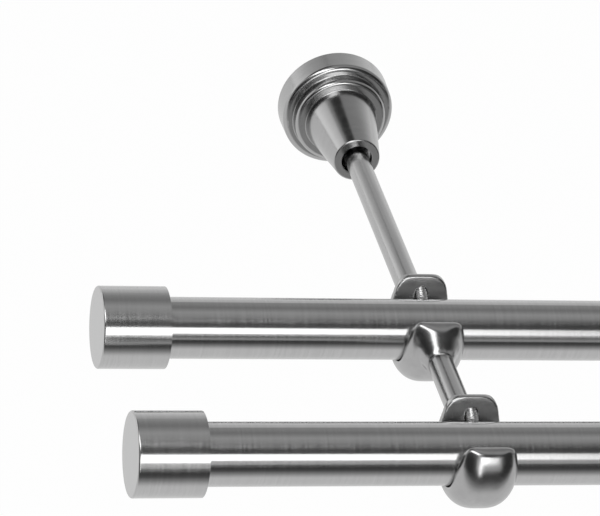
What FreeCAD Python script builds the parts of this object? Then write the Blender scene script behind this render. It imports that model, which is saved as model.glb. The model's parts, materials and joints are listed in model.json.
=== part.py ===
import FreeCAD, Part
import math
import os

# Double curtain pole: two round poles, one in front of the other, on two wall brackets.
# Frame: the wall is the plane Y = 0, the room is towards -Y, +Z is up and +X runs along the poles.
# The origin is on the wall, midway between the brackets, level with their arms. Sizes are in mm.

# Poles
POLE_DIAMETER = 19.0
POLE_WALL = 1.0
POLE_LENGTH = 900.0
WALL_TO_REAR_POLE = 141.0
POLE_SPACING = 65.5
BRACKET_INSET = 102.0

# Finial caps and the liners that grip the pole ends
CAP_LENGTH = 21.0
CAP_WALL = 1.2
CAP_EDGE_ROUND = 0.6
LINER_WALL = 1.85
LINER_FLOOR = 1.5
LINER_RECESS = 0.8

# Arms, with a threaded spigot at each end
ARM_DIAMETER = 8.0
SPIGOT_DIAMETER = 6.0
SPIGOT_LENGTH = 6.5
SPIGOT_CHAMFER = 0.6
SPIGOT_END_GAP = 0.5

# Wall plate inside the rosette
PLATE_DIAMETER = 32.6
PLATE_THICKNESS = 5.0
PLATE_BOSS_WALL = 3.3
PLATE_BOSS_HEIGHT = 5.0
WALL_SCREW_DIAMETER = 4.5
WALL_SCREW_HEAD_DIAMETER = 8.2

# Rosette that covers the wall plate: a flange, a step and a cone, all hollow
FLANGE_WALL = 3.1
FLANGE_DEPTH = 9.3
FLANGE_ROUND = 1.8
FLANGE_LEDGE = 3.5
STEP_HEIGHT = 4.1
STEP_ROUND = 1.3
STEP_LEDGE = 3.6
CONE_LENGTH = 25.6
TIP_RING = 2.7
TIP_LIP = 2.5
TIP_ROUND = 0.5
ARM_GAP = 1.2
ROSETTE_WALL = 1.8
ROSETTE_DRAFT = 0.3
CORNER_ROUND = 0.3

# Grub screws with a hexagon socket
CLAMP_SCREW_DIAMETER = 4.0
CLAMP_SCREW_LENGTH = 8.0
CLAMP_SCREW_POINT_DIAMETER = 1.1
CLAMP_SCREW_ANGLE = 27.0
LOCK_SCREW_DIAMETER = 3.0
LOCK_SCREW_POINT_DIAMETER = 1.5
SOCKET_SHARE = 0.5

# Cradles: cast rings with a crowned outside, a tall ear behind the pole and a low lip in front of it
CRADLE_WIDTH = 20.0
CRADLE_WALL = 6.5
CRADLE_CROWN_ROUND = 8.0
CRADLE_SHOULDER = 5.0
EAR_WIDTH = 14.6
EAR_RISE = 2.25
EAR_LEAN = 12.0
EAR_THICKNESS = 2.4
EAR_EDGE_ROUND = 1.0
EAR_CORNER_ROUND = 5.6
LIP_RISE = 0.45
LIP_LAND = 1.6
LIP_EDGE_ROUND = 0.8
LIP_SLOPE_DROP = 1.6
LIP_CORNER_ROUND = 3.0
BOSS_LENGTH = 3.4
BOSS_FLARE = 5.2
BOSS_RISE = 3.8
COLLAR_STEP = 0.4
COLLAR_LAND = 1.0

# Clearances
SEAT_CLEARANCE = 0.2
SLIP_CLEARANCE = 0.1
THREAD_CLEARANCE = 0.05
CONTACT_GAP = 0.05

# Places and radii that follow from the sizes above
pole_radius = POLE_DIAMETER / 2
pole_end = POLE_LENGTH / 2
wall_to_front_pole = WALL_TO_REAR_POLE + POLE_SPACING
bracket_x = pole_end - BRACKET_INSET
liner_bore = pole_radius + SLIP_CLEARANCE
liner_radius = liner_bore + LINER_WALL
cap_bore = liner_radius + CONTACT_GAP
cap_radius = cap_bore + CAP_WALL
spigot_radius = SPIGOT_DIAMETER / 2
thread_radius = spigot_radius + THREAD_CLEARANCE
thread_depth = SPIGOT_LENGTH + SPIGOT_END_GAP
plate_radius = PLATE_DIAMETER / 2
plate_boss_radius = spigot_radius + PLATE_BOSS_WALL
plate_face = PLATE_THICKNESS + PLATE_BOSS_HEIGHT
flange_radius = plate_radius + SLIP_CLEARANCE + FLANGE_WALL
step_radius = flange_radius - FLANGE_LEDGE
cone_base_radius = step_radius - STEP_LEDGE
arm_radius = ARM_DIAMETER / 2
rosette_bore = arm_radius + ARM_GAP
tip_radius = rosette_bore + TIP_RING
seat_radius = pole_radius + SEAT_CLEARANCE
ring_radius = seat_radius + CRADLE_WALL
ear_top = pole_radius + EAR_RISE
lip_top = pole_radius + LIP_RISE
lean = math.radians(EAR_LEAN)
collar = ring_radius + BOSS_LENGTH

X_AXIS = FreeCAD.Vector(1, 0, 0)
Y_AXIS = FreeCAD.Vector(0, 1, 0)
Z_AXIS = FreeCAD.Vector(0, 0, 1)
ORIGIN = FreeCAD.Vector(0, 0, 0)
SAME_POINT = 1e-6


def in_yz(y, z):
    return FreeCAD.Vector(0, y, z)


def in_xz(x, z):
    return FreeCAD.Vector(x, 0, z)


def about_arm(radius, depth):
    """Half-plane for shapes turned about the arm's axis; depth runs from the wall into the room."""
    return FreeCAD.Vector(radius, -depth, 0)


def about_pole(radius, x):
    """Half-plane for shapes turned about a pole's axis."""
    return FreeCAD.Vector(x, 0, radius)


def rounded_face(corners, place):
    """Flat face from corners (u, v, round); a tangent arc rounds each corner whose round isn't 0."""
    points = [place(u, v) for u, v, radius in corners]
    starts, ends, edges = [], [], []
    for index, (u, v, radius) in enumerate(corners):
        here = points[index]
        to_last = (points[index - 1] - here).normalize()
        to_next = (points[(index + 1) % len(points)] - here).normalize()
        half_angle = to_last.getAngle(to_next) / 2
        setback = radius / math.tan(half_angle)
        starts.append(here + to_last * setback)
        ends.append(here + to_next * setback)
        if radius > 0:
            inward = (to_last + to_next).normalize()
            middle = here + inward * (radius / math.sin(half_angle) - radius)
            edges.append(Part.Arc(starts[-1], middle, ends[-1]).toShape())
    for index, end in enumerate(ends):
        start = starts[(index + 1) % len(starts)]
        if end.distanceToPoint(start) > SAME_POINT:
            edges.append(Part.makeLine(end, start))
    return Part.Face(Part.Wire(Part.__sortEdges__(edges)))


def mirrored(half):
    """Closed outline, symmetric about u = 0, from the corners of its +u half."""
    return half + [(-u, v, radius) for u, v, radius in reversed(half)]


def centred_prism(face, direction, length):
    return face.translated(direction * (-length / 2)).extrude(direction * length)


def turned(corners):
    """Solid turned about the arm's axis from corners (radius, depth, round)."""
    return rounded_face(corners, about_arm).revolve(ORIGIN, Y_AXIS, 360)


def turned_on_pole(corners):
    """Solid turned about a pole's axis from corners (radius, x, round)."""
    return rounded_face(corners, about_pole).revolve(ORIGIN, X_AXIS, 360)


def rod_along_arm(radius, near, far):
    """Cylinder on the arm's axis from depth near to depth far."""
    return Part.makeCylinder(radius, far - near, FreeCAD.Vector(0, -near, 0), -Y_AXIS)


def pole():
    inner = pole_radius - POLE_WALL
    corners = [
        (inner, -pole_end, 0),
        (pole_radius, -pole_end, 0),
        (pole_radius, pole_end, 0),
        (inner, pole_end, 0),
    ]
    return turned_on_pole(corners)


def cup(outer, bore, mouth, floor, end, edge_round):
    """Round cup over the +X pole end, open towards the bracket."""
    corners = [
        (0, end, 0),
        (outer, end, edge_round),
        (outer, mouth, 0),
        (bore, mouth, 0),
        (bore, floor, 0),
        (0, floor, 0),
    ]
    return turned_on_pole(corners)


def finial_liner():
    mouth = pole_end + LINER_FLOOR + CAP_WALL - CAP_LENGTH + LINER_RECESS
    return cup(liner_radius, liner_bore, mouth, pole_end, pole_end + LINER_FLOOR, 0)


def finial_cap():
    floor = pole_end + LINER_FLOOR
    end = floor + CAP_WALL
    return cup(cap_radius, cap_bore, end - CAP_LENGTH, floor, end, CAP_EDGE_ROUND)


def wall_plate():
    plate = rod_along_arm(plate_radius, 0, PLATE_THICKNESS)
    plate = plate.fuse(rod_along_arm(plate_boss_radius, 0, plate_face)).removeSplitter()
    cuts = [rod_along_arm(thread_radius, plate_face - thread_depth, plate_face)]
    hole = WALL_SCREW_DIAMETER / 2
    head = WALL_SCREW_HEAD_DIAMETER / 2
    for side in (1, -1):
        offset = Z_AXIS * (side * (plate_radius + plate_boss_radius) / 2)
        face = FreeCAD.Vector(0, -PLATE_THICKNESS, 0)
        cuts.append(rod_along_arm(hole, 0, PLATE_THICKNESS).translated(offset))
        cuts.append(Part.makeCone(head, hole, head - hole, face, Y_AXIS).translated(offset))
    return plate.cut(cuts)


def rosette():
    step_face = FLANGE_DEPTH + STEP_HEIGHT
    tip_face = step_face + CONE_LENGTH
    lip_back = tip_face - TIP_LIP
    cavity = plate_radius + SLIP_CLEARANCE
    cone_inner = cone_base_radius - ROSETTE_WALL
    tip_inner = tip_radius - ROSETTE_WALL
    lip_inner = tip_inner + (cone_inner - tip_inner) * TIP_LIP / CONE_LENGTH
    corners = [
        (flange_radius, 0, 0),
        (flange_radius - ROSETTE_DRAFT, FLANGE_DEPTH, FLANGE_ROUND),
        (step_radius, FLANGE_DEPTH, CORNER_ROUND),
        (step_radius - ROSETTE_DRAFT, step_face, STEP_ROUND),
        (cone_base_radius, step_face, CORNER_ROUND),
        (tip_radius, tip_face, TIP_ROUND),
        (rosette_bore, tip_face, CORNER_ROUND),
        (rosette_bore, lip_back, 0),
        (lip_inner, lip_back, 0),
        (cone_inner, step_face - ROSETTE_WALL, 0),
        (step_radius - ROSETTE_WALL, step_face - ROSETTE_WALL, 0),
        (step_radius - ROSETTE_WALL, FLANGE_DEPTH - ROSETTE_WALL, 0),
        (cavity, FLANGE_DEPTH - ROSETTE_WALL, 0),
        (cavity, 0, 0),
    ]
    hole = LOCK_SCREW_DIAMETER / 2 + THREAD_CLEARANCE
    start = FreeCAD.Vector(0, -PLATE_THICKNESS / 2, 0)
    return turned(corners).cut(Part.makeCylinder(hole, 2 * flange_radius, start, -Z_AXIS))


def grub_screw(diameter, length, point_diameter):
    """Headless screw along +Z, its point at the origin and a hexagon socket in its other end."""
    radius = diameter / 2
    point = point_diameter / 2
    corners = [(0, 0, 0), (point, 0, 0), (radius, radius - point, 0), (radius, length, 0), (0, length, 0)]
    screw = rounded_face(corners, in_xz).revolve(ORIGIN, Z_AXIS, 360)
    socket = diameter * SOCKET_SHARE
    angles = [math.radians(60 * corner) for corner in range(7)]
    across = socket / math.sqrt(3)
    ring = [FreeCAD.Vector(across * math.cos(a), across * math.sin(a), length) for a in angles]
    return screw.cut(Part.Face(Part.makePolygon(ring)).extrude(Z_AXIS * -socket))


def rosette_lock_screw():
    tip = plate_radius + CONTACT_GAP
    length = flange_radius - ROSETTE_DRAFT - tip
    screw = grub_screw(LOCK_SCREW_DIAMETER, length, LOCK_SCREW_POINT_DIAMETER)
    screw.rotate(ORIGIN, X_AXIS, 180)
    return screw.translated(FreeCAD.Vector(0, -PLATE_THICKNESS / 2, -tip))


def on_clamp_axis(shape, distance):
    """Lay a shape made along +Z on the clamp screw's axis, at a distance from the pole's axis."""
    laid = shape.translated(Z_AXIS * distance)
    laid.rotate(ORIGIN, X_AXIS, CLAMP_SCREW_ANGLE - 90)
    return laid


def clamp_screw():
    screw = grub_screw(CLAMP_SCREW_DIAMETER, CLAMP_SCREW_LENGTH, CLAMP_SCREW_POINT_DIAMETER)
    return on_clamp_axis(screw, pole_radius + CONTACT_GAP)


def arm(near, far):
    """Rod between two depths, with a chamfered spigot beyond each end."""
    tip = spigot_radius - SPIGOT_CHAMFER
    first = near - SPIGOT_LENGTH
    last = far + SPIGOT_LENGTH
    corners = [
        (0, first, 0),
        (tip, first, 0),
        (spigot_radius, first + SPIGOT_CHAMFER, 0),
        (spigot_radius, near, 0),
        (arm_radius, near, 0),
        (arm_radius, far, 0),
        (spigot_radius, far, 0),
        (spigot_radius, last - SPIGOT_CHAMFER, 0),
        (tip, last, 0),
        (0, last, 0),
    ]
    return turned(corners)


def ear_face(z):
    """How far behind the pole's axis the ear's leaning inner face is at height z."""
    return seat_radius / math.cos(lean) + z * math.tan(lean)


def cradle_ring():
    """Full ring about the pole's axis, its outside crowned from side to side."""
    half = CRADLE_WIDTH / 2
    corners = [
        (0, -half, 0),
        (ring_radius, -half, CRADLE_CROWN_ROUND),
        (ring_radius, half, CRADLE_CROWN_ROUND),
        (0, half, 0),
    ]
    return turned_on_pole(corners)


def cradle_side():
    """Side outline that keeps the ring up to the lip in front and up to the shoulder behind."""
    far = 2 * ring_radius
    corners = [
        (-far, -far, 0),
        (far, -far, 0),
        (far, CRADLE_SHOULDER, 0),
        (0, CRADLE_SHOULDER, 0),
        (0, lip_top, 0),
        (-seat_radius - LIP_LAND, lip_top, LIP_EDGE_ROUND),
        (-ring_radius, lip_top - LIP_SLOPE_DROP, 0),
        (-far, lip_top - LIP_SLOPE_DROP, 0),
    ]
    return centred_prism(rounded_face(corners, in_yz), X_AXIS, 2 * CRADLE_WIDTH)


def ear_plate():
    """Plate that leans away from the pole, from the pole's axis up to the ear's top."""
    corners = [
        (0, 0, 0),
        (ear_face(0) + EAR_THICKNESS, 0, 0),
        (ear_face(ear_top) + EAR_THICKNESS, ear_top, EAR_EDGE_ROUND),
        (0, ear_top, 0),
    ]
    return centred_prism(rounded_face(corners, in_yz), X_AXIS, 2 * CRADLE_WIDTH)


def cradle_front(top, corner_round, direction):
    """Front outline of a cradle up to a height, its sides drawing in from the pole's axis to the ear."""
    draw_in = (CRADLE_WIDTH - EAR_WIDTH) / 2 / ear_top
    below = -2 * ring_radius
    half = [
        (CRADLE_WIDTH / 2 - top * draw_in, top, corner_round),
        (CRADLE_WIDTH / 2 - below * draw_in, below, 0),
    ]
    return rounded_face(mirrored(half), in_xz).extrude(direction * (2 * ring_radius))


def pole_channel():
    """Round bed for the pole, open at the top between the plumb lip and the leaning ear."""
    above = ear_top + EAR_RISE
    corners = [
        (-seat_radius, 0, 0),
        (seat_radius * math.cos(lean), -seat_radius * math.sin(lean), 0),
        (ear_face(above), above, 0),
        (-seat_radius, above, 0),
    ]
    opening = centred_prism(rounded_face(corners, in_yz), X_AXIS, 2 * CRADLE_WIDTH)
    bed = Part.makeCylinder(seat_radius, 2 * CRADLE_WIDTH, X_AXIS * -CRADLE_WIDTH, X_AXIS)
    return bed.fuse(opening)


def circle_on_arm(radius, depth, rise):
    """Circle square to the arm, its centre raised above the arm's axis."""
    return Part.Wire(Part.makeCircle(radius, FreeCAD.Vector(0, -depth, rise), Y_AXIS))


def threaded_boss(rise):
    """Boss in front of the pole, its root raised, that tapers to the arm's collar."""
    radius = arm_radius + COLLAR_STEP
    root = circle_on_arm(radius + BOSS_FLARE, seat_radius, rise)
    neck = circle_on_arm(radius, collar - COLLAR_LAND, 0)
    taper = Part.makeLoft([root, neck], True, True)
    return taper.fuse(rod_along_arm(radius, seat_radius, collar))


def cradle(carries_front_arm):
    """Cradle about the pole's axis, with a boss behind it and, if it carries a front arm, one in front."""
    body = cradle_ring()
    thread = rod_along_arm(thread_radius, collar - thread_depth, collar)
    holes = [thread.rotated(ORIGIN, Z_AXIS, 180)]
    if carries_front_arm:
        body = body.fuse(threaded_boss(BOSS_RISE))
        holes.append(thread)
    rear_boss = threaded_boss(0).rotated(ORIGIN, Z_AXIS, 180)
    outline = cradle_front(ear_top, EAR_CORNER_ROUND, Y_AXIS)
    outline = outline.fuse(cradle_front(lip_top, LIP_CORNER_ROUND, -Y_AXIS)).removeSplitter()
    body = body.common(cradle_side()).fuse([ear_plate(), rear_boss]).common(outline)
    screw_hole = CLAMP_SCREW_DIAMETER / 2 + THREAD_CLEARANCE
    holes.append(on_clamp_axis(Part.makeCylinder(screw_hole, 2 * collar), pole_radius))
    return body.cut(holes + [pole_channel()]).removeSplitter()


def bracket():
    """Pieces of one bracket, about the arm's axis, by name."""
    at_rear_pole = Y_AXIS * -WALL_TO_REAR_POLE
    at_front_pole = Y_AXIS * -wall_to_front_pole
    rear_arm = arm(plate_face, WALL_TO_REAR_POLE - collar)
    front_arm = arm(WALL_TO_REAR_POLE + collar, wall_to_front_pole - collar)
    rear_cradle = cradle(carries_front_arm=True)
    front_cradle = cradle(carries_front_arm=False)
    return {
        "wall_plate": wall_plate(),
        "rosette": rosette(),
        "rosette_lock_screw": rosette_lock_screw(),
        "rear_arm": rear_arm,
        "rear_cradle": rear_cradle.translated(at_rear_pole),
        "rear_clamp_screw": clamp_screw().translated(at_rear_pole),
        "front_arm": front_arm,
        "front_cradle": front_cradle.translated(at_front_pole),
        "front_clamp_screw": clamp_screw().translated(at_front_pole),
    }


def save(name, shape):
    shape.Solids[0].exportStep(os.path.join("parts", name + ".step"))


def save_all():
    os.makedirs("parts", exist_ok=True)
    for side, sign in (("left", -1), ("right", 1)):
        for name, shape in bracket().items():
            save(side + "_" + name, shape.translated(X_AXIS * (sign * bracket_x)))
        for row, distance in (("rear", WALL_TO_REAR_POLE), ("front", wall_to_front_pole)):
            for piece, shape in (("finial_cap", finial_cap()), ("finial_liner", finial_liner())):
                if sign < 0:
                    shape.rotate(ORIGIN, Z_AXIS, 180)
                save(side + "_" + row + "_" + piece, shape.translated(Y_AXIS * -distance))
    save("rear_pole", pole().translated(Y_AXIS * -WALL_TO_REAR_POLE))
    save("front_pole", pole().translated(Y_AXIS * -wall_to_front_pole))


save_all()
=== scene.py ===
import bpy
import json
import math
from mathutils import Matrix, Vector


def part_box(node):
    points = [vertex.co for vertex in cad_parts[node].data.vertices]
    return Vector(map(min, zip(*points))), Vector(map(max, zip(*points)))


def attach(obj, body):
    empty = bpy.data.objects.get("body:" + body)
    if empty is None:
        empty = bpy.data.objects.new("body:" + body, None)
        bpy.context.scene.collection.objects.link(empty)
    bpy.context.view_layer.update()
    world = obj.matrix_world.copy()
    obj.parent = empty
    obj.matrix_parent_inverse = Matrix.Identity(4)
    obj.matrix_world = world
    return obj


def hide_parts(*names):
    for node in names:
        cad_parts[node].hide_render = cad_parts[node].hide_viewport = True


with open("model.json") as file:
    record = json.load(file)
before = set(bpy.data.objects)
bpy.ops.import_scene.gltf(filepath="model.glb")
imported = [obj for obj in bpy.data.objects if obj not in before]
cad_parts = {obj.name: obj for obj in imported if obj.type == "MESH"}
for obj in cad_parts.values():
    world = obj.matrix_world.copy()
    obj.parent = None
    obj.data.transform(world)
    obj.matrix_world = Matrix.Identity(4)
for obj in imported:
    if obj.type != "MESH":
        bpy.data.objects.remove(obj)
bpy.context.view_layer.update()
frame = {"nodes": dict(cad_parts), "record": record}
nodes = frame["nodes"]
scene = bpy.context.scene

MM = 0.001
SIDES = ("left", "right")
ROWS = ("rear", "front")

# Camera, fitted to the photo: focal length in its pixels, place in the object's frame and
# angles in degrees
PHOTO_WIDTH_PX = 600
FOCAL_PX = 3299.6
SENSOR_MM = 36.0
CAMERA_PLACE_MM = (-638.9, -961.9, 553.6)
CAMERA_YAW = 16.703
CAMERA_PITCH = 31.617
CAMERA_ROLL = 9.652

# Studio, in metres and degrees: a white floor, and soft lamps and dark flags in front of the left
# bracket and beside it. Each lamp or flag spans angles to the right of straight ahead and heights
# above the horizon, as seen from the bracket. A lamp's last value is its brightness. The white share
# is how much of the floor, as the camera and the metal see it, is a light of its own
FLOOR_DROP = 0.5
FLOOR_SIZE = 30.0
FLOOR_SHADE = 0.85
WHITE_SHARE = 0.98
LAMP_DISTANCE = 2.2
LAMPS = {
    "softbox": ((-8, 19), (14, 35), 2.8),
    "side_strip": ((-13, -1), (-10, 14), 2.1),
    "top_lamp": ((-85, -14), (44, 70), 3.0),
    "left_panel": ((-147, -100), (2, 33), 0.38),
}
FLAGS = {
    "left_flag": ((-80, -24), (-12, 44)),
    "right_flag": ((27, 80), (-12, 50)),
    "back_flag": ((-175, -112), (34, 56)),
}
FLAG_SHADE = 0.04
MATT_ROUGHNESS = 0.9

# What metal sees: the floor shows it a painted reflection, whose brightness falls with distance in
# front of the poles, and the room's light goes by its angle from the horizon in front, over the top, to
# the horizon behind
FLOOR_REFLECTION_LEVELS = (
    (0.0, 0.8), (0.32, 0.8), (0.62, 0.34), (1.0, 0.1), (1.5, 0.05), (15.0, 0.05),
)
ROOM_LEVELS = (
    (0, 0.46), (8, 0.5), (13, 0.7), (30, 0.5), (36, 0.15), (50, 0.04), (64, 0.12),
    (78, 0.33), (94, 0.44), (116, 0.25), (135, 0.36), (171, 0.8), (180, 0.85),
)

# Surfaces: the noise in them and the range that most of its values keep to, the grain of a casting
# in cycles per metre, and each finish's bump as a height in millimetres and a strength
NOISE_DETAIL = 3.0
NOISE_ROUGHNESS = 0.6
NOISE_LOW = 0.3
NOISE_HIGH = 0.7
CAST_CLOUD_GRAIN = (220, 220, 220)
CAST_BUMP_GRAIN = (420, 420, 420)
BRUSHED_BUMP = (0.02, 0.12)
CAST_BUMP = (0.05, 0.35)
SATIN_BUMP = (0.01, 0.2)
PLASTIC_BUMP = (0.03, 0.4)
QUARTER_TURN = 0.25

# Cast cradles: voxel size of their soft copies, the smoothing passes that round the edges and how far
# each pass goes, and the share of that rounding on the ear behind the pole, which blends into the full
# rounding across the pole's axis. The rim of the clamp screw's hole stays sharp within a radius
CAST_VOXEL_MM = 0.3
CAST_PASSES = 90
CAST_PASS_SHARE = 0.5
EAR_SHARE = 0.15
EAR_BLEND_MM = 6.0
HOLE_RIM_MM = 2.6

# Grub screws: diameter, length, pitch and point diameter, the angle of the clamp screws above the
# horizontal and their gap to the pole, and what both kinds share: how finely the thread is divided, its
# depth as a share of the pitch, the socket's as a share of the diameter, and the slope at the open end
CLAMP_SCREW_MM = 4.0
CLAMP_SCREW_LENGTH_MM = 8.0
CLAMP_SCREW_PITCH_MM = 0.7
CLAMP_SCREW_POINT_MM = 1.1
CLAMP_SCREW_ANGLE = 27.0
CLAMP_POINT_GAP_MM = 0.05
LOCK_SCREW_MM = 3.0
LOCK_SCREW_PITCH_MM = 0.5
LOCK_SCREW_POINT_MM = 1.5
THREAD_STEPS = 48
THREAD_ROWS_PER_TURN = 10
THREAD_DEPTH_SHARE = 0.61
SOCKET_SHARE = 0.5
END_SLOPE = 2


def add_camera():
    """Camera at the photo's viewpoint."""
    yaw = math.radians(CAMERA_YAW)
    pitch = math.radians(CAMERA_PITCH)
    roll = math.radians(CAMERA_ROLL)
    level = math.cos(pitch)
    ahead = Vector((math.sin(yaw) * level, math.cos(yaw) * level, -math.sin(pitch)))
    right = Vector((math.cos(yaw), -math.sin(yaw), 0))
    up = right.cross(ahead)
    rolled_right = right * math.cos(roll) + up * math.sin(roll)
    rolled_up = up * math.cos(roll) - right * math.sin(roll)
    place = Matrix((rolled_right, rolled_up, -ahead)).transposed().to_4x4()
    place.translation = Vector(CAMERA_PLACE_MM) * MM
    data = bpy.data.cameras.new("photo_camera")
    data.sensor_fit = "HORIZONTAL"
    data.sensor_width = SENSOR_MM
    data.lens = SENSOR_MM * FOCAL_PX / PHOTO_WIDTH_PX
    camera = bpy.data.objects.new("photo_camera", data)
    camera.matrix_world = place
    scene.collection.objects.link(camera)
    scene.camera = camera


def grey(level):
    return (level, level, level, 1)


def new_material(name):
    """Node material, with its tree and its Principled shader."""
    material = bpy.data.materials.new(name)
    material.use_nodes = True
    tree = material.node_tree
    return material, tree, tree.nodes["Principled BSDF"]


def add_node(tree, kind, **settings):
    node = tree.nodes.new(kind)
    for key, value in settings.items():
        setattr(node, key, value)
    return node


def scaled_noise(tree, grain):
    """Noise whose grain along X, Y and Z is set in cycles per metre."""
    coordinates = add_node(tree, "ShaderNodeTexCoord")
    mapping = add_node(tree, "ShaderNodeMapping")
    mapping.inputs["Scale"].default_value = grain
    noise = add_node(tree, "ShaderNodeTexNoise")
    noise.inputs["Scale"].default_value = 1.0
    noise.inputs["Detail"].default_value = NOISE_DETAIL
    noise.inputs["Roughness"].default_value = NOISE_ROUGHNESS
    tree.links.new(coordinates.outputs["Object"], mapping.inputs["Vector"])
    tree.links.new(mapping.outputs["Vector"], noise.inputs["Vector"])
    return noise.outputs["Fac"]


def ranged(tree, value, low, high):
    """Noise value spread from low to high."""
    spread = add_node(tree, "ShaderNodeMapRange")
    spread.inputs["From Min"].default_value = NOISE_LOW
    spread.inputs["From Max"].default_value = NOISE_HIGH
    spread.inputs["To Min"].default_value = low
    spread.inputs["To Max"].default_value = high
    tree.links.new(value, spread.inputs["Value"])
    return spread.outputs["Result"]


def tinted(tree, value, dark, light):
    """Grey between two shades, driven by a noise value."""
    ramp = add_node(tree, "ShaderNodeValToRGB")
    ramp.color_ramp.elements[0].position = NOISE_LOW
    ramp.color_ramp.elements[0].color = grey(dark)
    ramp.color_ramp.elements[1].position = NOISE_HIGH
    ramp.color_ramp.elements[1].color = grey(light)
    tree.links.new(value, ramp.inputs["Fac"])
    return ramp.outputs["Color"]


def add_bump(tree, shader, value, height_mm, strength):
    """Bump that follows a noise value."""
    bump = add_node(tree, "ShaderNodeBump")
    bump.inputs["Distance"].default_value = height_mm * MM
    bump.inputs["Strength"].default_value = strength
    tree.links.new(value, bump.inputs["Height"])
    tree.links.new(bump.outputs["Normal"], shader.inputs["Normal"])


def brushed_steel(name, grain, shades, roughness, anisotropy):
    """Steel brushed round the X axis: highlights run along the tube, and flat ends shine evenly."""
    material, tree, shader = new_material(name)
    shader.inputs["Metallic"].default_value = 1.0
    shader.inputs["Anisotropic Rotation"].default_value = QUARTER_TURN
    tangent = add_node(tree, "ShaderNodeTangent", direction_type="RADIAL", axis="X")
    tree.links.new(tangent.outputs["Tangent"], shader.inputs["Tangent"])
    coordinates = add_node(tree, "ShaderNodeTexCoord")
    split = add_node(tree, "ShaderNodeSeparateXYZ")
    endways = add_node(tree, "ShaderNodeMath", operation="ABSOLUTE")
    grained = add_node(tree, "ShaderNodeMapRange")
    grained.inputs["To Min"].default_value = anisotropy
    grained.inputs["To Max"].default_value = 0.0
    tree.links.new(coordinates.outputs["Normal"], split.inputs["Vector"])
    tree.links.new(split.outputs["X"], endways.inputs[0])
    tree.links.new(endways.outputs["Value"], grained.inputs["Value"])
    tree.links.new(grained.outputs["Result"], shader.inputs["Anisotropic"])
    fine = scaled_noise(tree, grain)
    tree.links.new(tinted(tree, fine, *shades), shader.inputs["Base Color"])
    tree.links.new(ranged(tree, fine, *roughness), shader.inputs["Roughness"])
    add_bump(tree, shader, fine, *BRUSHED_BUMP)
    return material


def polished_casting(name, shades, roughness):
    """Cast metal, polished by hand: soft gloss with a faint unevenness."""
    material, tree, shader = new_material(name)
    shader.inputs["Metallic"].default_value = 1.0
    cloud = scaled_noise(tree, CAST_CLOUD_GRAIN)
    tree.links.new(tinted(tree, cloud, *shades), shader.inputs["Base Color"])
    tree.links.new(ranged(tree, cloud, *roughness), shader.inputs["Roughness"])
    add_bump(tree, shader, scaled_noise(tree, CAST_BUMP_GRAIN), *CAST_BUMP)
    return material


def satin_steel(name, grain, shades, roughness):
    """Turned metal with a fine grain and a satin gloss."""
    material, tree, shader = new_material(name)
    shader.inputs["Metallic"].default_value = 1.0
    fine = scaled_noise(tree, grain)
    tree.links.new(tinted(tree, fine, *shades), shader.inputs["Base Color"])
    tree.links.new(ranged(tree, fine, *roughness), shader.inputs["Roughness"])
    add_bump(tree, shader, fine, *SATIN_BUMP)
    return material


def moulded_plastic(name, grain, shades, roughness):
    """Dark plastic with the grain of its mould."""
    material, tree, shader = new_material(name)
    fine = scaled_noise(tree, grain)
    tree.links.new(tinted(tree, fine, *shades), shader.inputs["Base Color"])
    tree.links.new(ranged(tree, fine, *roughness), shader.inputs["Roughness"])
    add_bump(tree, shader, fine, *PLASTIC_BUMP)
    return material


def slot_materials():
    """One material for each material slot of the record."""
    return {
        "pole_steel": brushed_steel(
            "pole_steel",
            grain=(2000, 50, 50), shades=(0.52, 0.575), roughness=(0.17, 0.23), anisotropy=0.85,
        ),
        "cap_steel": brushed_steel(
            "cap_steel",
            grain=(2200, 70, 70), shades=(0.53, 0.58), roughness=(0.18, 0.25), anisotropy=0.8,
        ),
        "cradle_metal": polished_casting(
            "cradle_metal", shades=(0.45, 0.51), roughness=(0.19, 0.26),
        ),
        "rosette_metal": satin_steel(
            "rosette_metal", grain=(160, 500, 160), shades=(0.47, 0.5), roughness=(0.17, 0.23),
        ),
        "arm_steel": satin_steel(
            "arm_steel", grain=(900, 40, 900), shades=(0.48, 0.56), roughness=(0.17, 0.24),
        ),
        "screw_steel": satin_steel(
            "screw_steel", grain=(1500, 1500, 1500), shades=(0.8, 0.95), roughness=(0.2, 0.32),
        ),
        "plate_steel": satin_steel(
            "plate_steel", grain=(500, 500, 500), shades=(0.5, 0.66), roughness=(0.3, 0.45),
        ),
        "liner_plastic": moulded_plastic(
            "liner_plastic", grain=(1800, 1800, 1800), shades=(0.03, 0.045), roughness=(0.45, 0.6),
        ),
    }


def dress(piece, material):
    piece.data.materials.clear()
    piece.data.materials.append(material)


def dress_nodes(materials):
    """Give every CAD node the material of its slot."""
    for part in frame["record"]["subparts"]:
        dress(nodes[part["node"]], materials[part["material_slot"]])


def add_piece(name, mesh, slot, replaced, materials):
    """Piece that stands for a CAD node and rides on the one rigid body."""
    piece = bpy.data.objects.new(name, mesh)
    scene.collection.objects.link(piece)
    piece.vertex_groups.clear()
    dress(piece, materials[slot])
    mesh.shade_smooth()
    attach(piece, "root")
    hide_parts(replaced)


def centre(node):
    low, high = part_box(node)
    return (low + high) / 2


def baked(copy):
    """Mesh of an object with its modifiers applied; the object itself is dropped."""
    scene.collection.objects.link(copy)
    applied = copy.evaluated_get(bpy.context.evaluated_depsgraph_get())
    mesh = bpy.data.meshes.new_from_object(applied)
    bpy.data.objects.remove(copy)
    return mesh


def clamp_direction():
    """Direction of the clamp screws, from the pole outwards."""
    angle = math.radians(CLAMP_SCREW_ANGLE)
    return Vector((0, math.cos(angle), math.sin(angle)))


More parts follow.
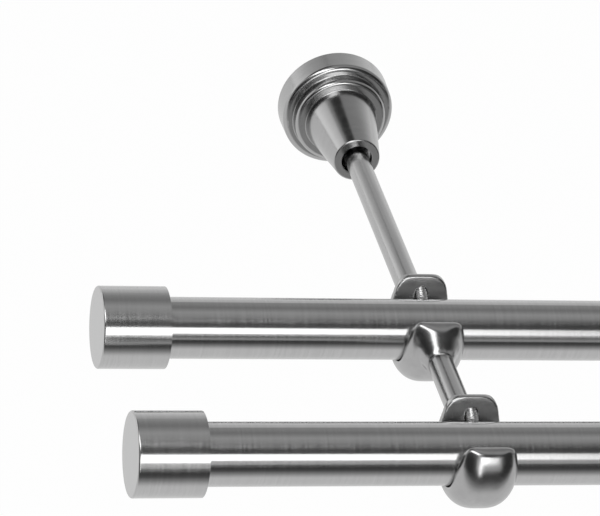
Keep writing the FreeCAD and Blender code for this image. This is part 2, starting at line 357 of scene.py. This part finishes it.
def soft_cast(side, row):
    """Mesh of a cradle with its edges rubbed round: less on the ear, not at all at the screw's hole."""
    solid = bpy.data.objects.new("solid_cast", nodes[f"{side}_{row}_cradle"].data.copy())
    remesh = solid.modifiers.new("remesh", "REMESH")
    remesh.mode = "VOXEL"
    remesh.voxel_size = CAST_VOXEL_MM * MM
    rough = bpy.data.objects.new("rough_cast", baked(solid))
    rubbed = rough.vertex_groups.new(name="rubbed")
    axis_y = centre(f"{row}_pole").y
    screw = centre(f"{side}_{row}_clamp_screw")
    for vertex in rough.data.vertices:
        behind = min(max((vertex.co.y - axis_y) / (EAR_BLEND_MM * MM) + 0.5, 0), 1)
        from_screw = (vertex.co - screw).cross(clamp_direction()).length
        if from_screw > HOLE_RIM_MM * MM:
            rubbed.add((vertex.index,), 1 - (1 - EAR_SHARE) * behind, "REPLACE")
    smooth = rough.modifiers.new("smooth", "SMOOTH")
    smooth.factor = CAST_PASS_SHARE
    smooth.iterations = CAST_PASSES
    smooth.vertex_group = rubbed.name
    return baked(rough)


def hexagon(angle, across_flats):
    """Distance from a hexagon's centre to its outline at an angle."""
    wedge = (angle + math.pi / 6) % (math.pi / 3) - math.pi / 6
    return across_flats / 2 / math.cos(wedge)


def threaded_screw(diameter, length, pitch, point_diameter):
    """Headless screw along +Z with its point at the origin, a helical thread and a hexagon socket."""
    depth = THREAD_DEPTH_SHARE * pitch
    socket = SOCKET_SHARE * diameter
    angles = [2 * math.pi * step / THREAD_STEPS for step in range(THREAD_STEPS)]
    count = round(length / pitch * THREAD_ROWS_PER_TURN)
    rows = []
    for row in range(count + 1):
        z = length * row / count
        taper = min(point_diameter / 2 + z, diameter / 2 - depth + END_SLOPE * (length - z))
        ring = []
        for angle in angles:
            phase = (z / pitch - angle / (2 * math.pi)) % 1
            thread = diameter / 2 - depth * (1 - abs(2 * phase - 1))
            ring.append((angle, min(thread, taper), z))
        rows.append(ring)
    rows.append([(angle, hexagon(angle, socket), length) for angle in angles])
    rows.append([(angle, hexagon(angle, socket), length - socket) for angle in angles])
    points = [(r * math.cos(a), r * math.sin(a), z) for ring in rows for a, r, z in ring]
    faces = []
    for row in range(len(rows) - 1):
        for step in range(THREAD_STEPS):
            after = (step + 1) % THREAD_STEPS
            low, high = row * THREAD_STEPS, (row + 1) * THREAD_STEPS
            faces.append((low + step, low + after, high + after, high + step))
    faces.append(tuple(reversed(range(THREAD_STEPS))))
    last = (len(rows) - 1) * THREAD_STEPS
    faces.append(tuple(range(last, last + THREAD_STEPS)))
    mesh = bpy.data.meshes.new("threaded_screw")
    mesh.from_pydata([Vector(p) * MM for p in points], [], faces)
    return mesh


def lay_along(mesh, start, direction):
    """Turn a mesh made along +Z so that it runs from start in a direction."""
    turn = Vector((0, 0, 1)).rotation_difference(direction).to_matrix().to_4x4()
    mesh.transform(Matrix.Translation(start) @ turn)


def add_clamp_screw(side, row, materials):
    """Clamp screw in a cradle's ear, its point at the pole."""
    node = f"{side}_{row}_clamp_screw"
    pole_low, pole_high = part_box(f"{row}_pole")
    radius = (pole_high.z - pole_low.z) / 2
    outward = clamp_direction()
    axis = centre(f"{row}_pole")
    axis.x = centre(node).x
    screw = threaded_screw(
        CLAMP_SCREW_MM, CLAMP_SCREW_LENGTH_MM, CLAMP_SCREW_PITCH_MM, CLAMP_SCREW_POINT_MM
    )
    lay_along(screw, axis + outward * (radius + CLAMP_POINT_GAP_MM * MM), outward)
    add_piece(f"{node}_threaded", screw, "screw_steel", node, materials)


def add_lock_screw(side, materials):
    """Lock screw under a rosette, its point at the wall plate."""
    node = f"{side}_rosette_lock_screw"
    low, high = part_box(node)
    length = (high.z - low.z) / MM
    screw = threaded_screw(LOCK_SCREW_MM, length, LOCK_SCREW_PITCH_MM, LOCK_SCREW_POINT_MM)
    top = centre(node)
    top.z = high.z
    lay_along(screw, top, Vector((0, 0, -1)))
    add_piece(f"{node}_threaded", screw, "screw_steel", node, materials)


def add_pieces(materials):
    """Threaded screws and soft castings, in place of their plain CAD nodes."""
    for side in SIDES:
        add_lock_screw(side, materials)
        for row in ROWS:
            add_clamp_screw(side, row, materials)
            node = f"{side}_{row}_cradle"
            add_piece(f"{node}_cast", soft_cast(side, row), "cradle_metal", node, materials)


def shown_to(tree, ray, share, plain, shown):
    """One shader, with a share of another one mixed in for one kind of ray."""
    path = add_node(tree, "ShaderNodeLightPath")
    part = add_node(tree, "ShaderNodeMath", operation="MULTIPLY")
    part.inputs[1].default_value = share
    mix = add_node(tree, "ShaderNodeMixShader")
    tree.links.new(path.outputs[ray], part.inputs[0])
    tree.links.new(part.outputs["Value"], mix.inputs["Fac"])
    tree.links.new(plain, mix.inputs[1])
    tree.links.new(shown, mix.inputs[2])
    return mix.outputs["Shader"]


def glow(tree, colour=None):
    """Light of strength 1, white or in a linked colour."""
    light = add_node(tree, "ShaderNodeEmission")
    if colour:
        tree.links.new(colour, light.inputs["Color"])
    return light.outputs["Emission"]


def level_ramp(tree, value, levels):
    """Grey that follows a value through pairs of (value, level)."""
    last = levels[-1][0]
    share = add_node(tree, "ShaderNodeMapRange")
    share.inputs["From Max"].default_value = last
    ramp = add_node(tree, "ShaderNodeValToRGB")
    elements = ramp.color_ramp.elements
    for place, level in levels[1:-1]:
        elements.new(place / last).color = grey(level)
    for index in (0, -1):
        elements[index].color = grey(levels[index][1])
    tree.links.new(value, share.inputs["Value"])
    tree.links.new(share.outputs["Result"], ramp.inputs["Fac"])
    return ramp.outputs["Color"]


def flat_mesh(name, corners):
    """Flat piece of the studio."""
    mesh = bpy.data.meshes.new(name)
    mesh.from_pydata(corners, [], [range(len(corners))])
    piece = bpy.data.objects.new(name, mesh)
    scene.collection.objects.link(piece)
    return piece


def add_floor():
    """White floor below the object, which shows metal a painted reflection that is darker further in
    front of the poles.
    """
    half = FLOOR_SIZE / 2
    signs = ((-1, -1), (1, -1), (1, 1), (-1, 1))
    floor = flat_mesh("floor", [(x * half, y * half, -FLOOR_DROP) for x, y in signs])
    material, tree, shader = new_material("floor")
    shader.inputs["Base Color"].default_value = grey(FLOOR_SHADE)
    shader.inputs["Roughness"].default_value = MATT_ROUGHNESS
    coordinates = add_node(tree, "ShaderNodeTexCoord")
    split = add_node(tree, "ShaderNodeSeparateXYZ")
    ahead = add_node(tree, "ShaderNodeMath", operation="SUBTRACT")
    ahead.inputs[0].default_value = centre("front_pole").y
    tree.links.new(coordinates.outputs["Object"], split.inputs["Vector"])
    tree.links.new(split.outputs["Y"], ahead.inputs[1])
    # Painted reflection: glossy rays see the floor glow, darker further in front of the poles
    seen = glow(tree, level_ramp(tree, ahead.outputs["Value"], FLOOR_REFLECTION_LEVELS))
    surface = shown_to(tree, "Is Glossy Ray", WHITE_SHARE, shader.outputs["BSDF"], seen)
    surface = shown_to(tree, "Is Camera Ray", WHITE_SHARE, surface, glow(tree))
    tree.links.new(surface, tree.nodes["Material Output"].inputs["Surface"])
    dress(floor, material)


def towards(aside, above):
    """Direction under an angle to the right of straight ahead and a height above the horizon."""
    level = math.cos(above)
    return Vector((math.sin(aside) * level, -math.cos(aside) * level, math.sin(above)))


def add_lamp(name, across, heights, brightness):
    """Soft lamp that faces the left bracket."""
    left, right = (math.radians(angle) for angle in across)
    low, high = (math.radians(angle) for angle in heights)
    above = (low + high) / 2
    outward = towards((left + right) / 2, above)
    data = bpy.data.lights.new(name, "AREA")
    data.shape = "RECTANGLE"
    data.size = 2 * LAMP_DISTANCE * math.cos(above) * math.tan((right - left) / 2)
    data.size_y = 2 * LAMP_DISTANCE * math.tan((high - low) / 2)
    data.energy = brightness * math.pi * data.size * data.size_y
    lamp = bpy.data.objects.new(name, data)
    lamp.location = centre("left_front_cradle") + LAMP_DISTANCE * outward
    lamp.rotation_euler = outward.to_track_quat("Z", "Y").to_euler()
    scene.collection.objects.link(lamp)


def add_flag(name, across, heights):
    """Dark card beside the lamps, seen only in reflections."""
    left, right = (math.radians(angle) for angle in across)
    low, high = (math.radians(angle) for angle in heights)
    places = ((left, low), (right, low), (right, high), (left, high))
    middle = centre("left_front_cradle")
    flag = flat_mesh(name, [middle + LAMP_DISTANCE * towards(*place) for place in places])
    material, _, shader = new_material(name)
    shader.inputs["Base Color"].default_value = grey(FLAG_SHADE)
    shader.inputs["Roughness"].default_value = MATT_ROUGHNESS
    dress(flag, material)
    flag.visible_camera = False
    flag.visible_diffuse = False
    flag.visible_shadow = False


def add_world():
    """Grey studio room; the camera sees plain white."""
    world = bpy.data.worlds.new("studio")
    world.use_nodes = True
    scene.world = world
    tree = world.node_tree
    coordinates = add_node(tree, "ShaderNodeTexCoord")
    split = add_node(tree, "ShaderNodeSeparateXYZ")
    front = add_node(tree, "ShaderNodeMath", operation="MULTIPLY")
    front.inputs[1].default_value = -1
    angle = add_node(tree, "ShaderNodeMath", operation="ARCTAN2")
    degrees = add_node(tree, "ShaderNodeMath", operation="DEGREES")
    tree.links.new(coordinates.outputs["Generated"], split.inputs["Vector"])
    tree.links.new(split.outputs["Y"], front.inputs[0])
    tree.links.new(split.outputs["Z"], angle.inputs[0])
    tree.links.new(front.outputs["Value"], angle.inputs[1])
    tree.links.new(angle.outputs["Value"], degrees.inputs[0])
    seen = level_ramp(tree, degrees.outputs["Value"], ROOM_LEVELS)
    background = tree.nodes["Background"]
    tree.links.new(seen, background.inputs["Color"])
    surface = shown_to(tree, "Is Camera Ray", 1.0, background.outputs["Background"], glow(tree))
    tree.links.new(surface, tree.nodes["World Output"].inputs["Surface"])


slots = slot_materials()
dress_nodes(slots)
add_pieces(slots)
add_camera()
add_floor()
for lamp, (across, heights, brightness) in LAMPS.items():
    add_lamp(lamp, across, heights, brightness)
for flag, (across, heights) in FLAGS.items():
    add_flag(flag, across, heights)
add_world()
scene.view_settings.view_transform = "Standard"
